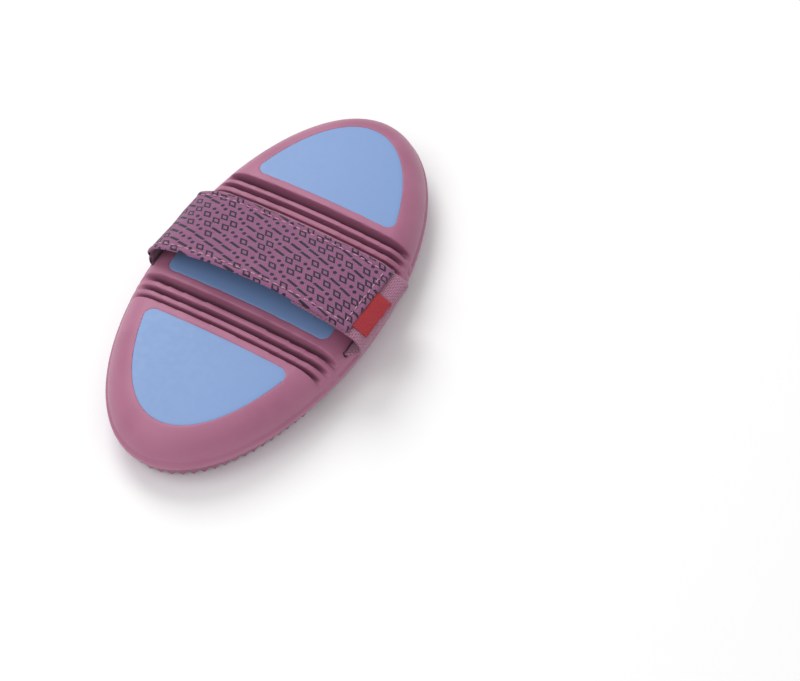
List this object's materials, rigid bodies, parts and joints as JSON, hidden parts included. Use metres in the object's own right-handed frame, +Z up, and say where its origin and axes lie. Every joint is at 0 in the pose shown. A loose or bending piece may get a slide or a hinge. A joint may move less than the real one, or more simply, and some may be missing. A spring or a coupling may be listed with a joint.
{
  "type": "curry comb",
  "caption": "Oval flexible curry comb with hinged toothed rubber ends, rigid plastic plates and an opening hand strap.",
  "frame": {"origin": "on the plane of the tooth tips, under the middle of the comb", "axes": "+Y along the comb's length, towards the rear end; +X across it, towards the strap's opening side; +Z up, from the teeth to the strap"},
  "size_m": [0.098, 0.1918, 0.0386],
  "materials": {
    "mauve_rubber": "satin moulded rubber",
    "blue_plastic": "smooth semi-matt",
    "printed_fabric": "woven, printed with a dark geometric pattern",
    "dark_lining": "brushed knit",
    "hook_tape": "hook tape",
    "red_tape": "woven tape",
    "pink_thread": "polyester thread",
    "loop_webbing": "looped pile webbing",
    "steel_rod": "plain"
  },
  "bodies": {
    "centre": {"centre_pad": "mauve_rubber", "centre_back_plate": "blue_plastic", "centre_base_plate": "blue_plastic", "centre_outer_ridge": "mauve_rubber", "centre_inner_ridge": "mauve_rubber", "centre_cross_ridges": "mauve_rubber", "front_hinge_pleats": "mauve_rubber", "rear_hinge_pleats": "mauve_rubber", "grip_strap_root": "printed_fabric", "loop_strap": "loop_webbing", "strap_anchor_bars": "steel_rod"},
    "front_end": {"front_pad": "mauve_rubber", "front_back_plate": "blue_plastic", "front_base_plate": "blue_plastic", "front_outer_ridge": "mauve_rubber", "front_middle_ridge": "mauve_rubber", "front_inner_ridge": "mauve_rubber"},
    "rear_end": {"rear_pad": "mauve_rubber", "rear_back_plate": "blue_plastic", "rear_base_plate": "blue_plastic", "rear_outer_ridge": "mauve_rubber", "rear_middle_ridge": "mauve_rubber", "rear_inner_ridge": "mauve_rubber"},
    "strap_flap": {"grip_strap": "printed_fabric", "strap_lining": "dark_lining", "hook_tape": "hook_tape", "pull_tag": "red_tape", "strap_stitching": "pink_thread"}
  },
  "joints": [
    {"name": "front_flex", "type": "hinge", "parent": "centre", "child": "front_end", "pos_m": [0, -0.0305, 0.0124], "axis": [-1, 0, 0], "range_deg": [-15, 25], "stiffness_Nm_per_rad": 0.6, "deforming": ["front_hinge_pleats"]},
    {"name": "rear_flex", "type": "hinge", "parent": "centre", "child": "rear_end", "pos_m": [0, 0.0305, 0.0124], "axis": [1, 0, 0], "range_deg": [-15, 25], "stiffness_Nm_per_rad": 0.6, "deforming": ["rear_hinge_pleats"]},
    {"name": "strap_open", "type": "hinge", "parent": "centre", "child": "strap_flap", "pos_m": [-0.0455, 0, 0.0224], "axis": [0, -1, 0], "range_deg": [0, 110]}
  ]
}
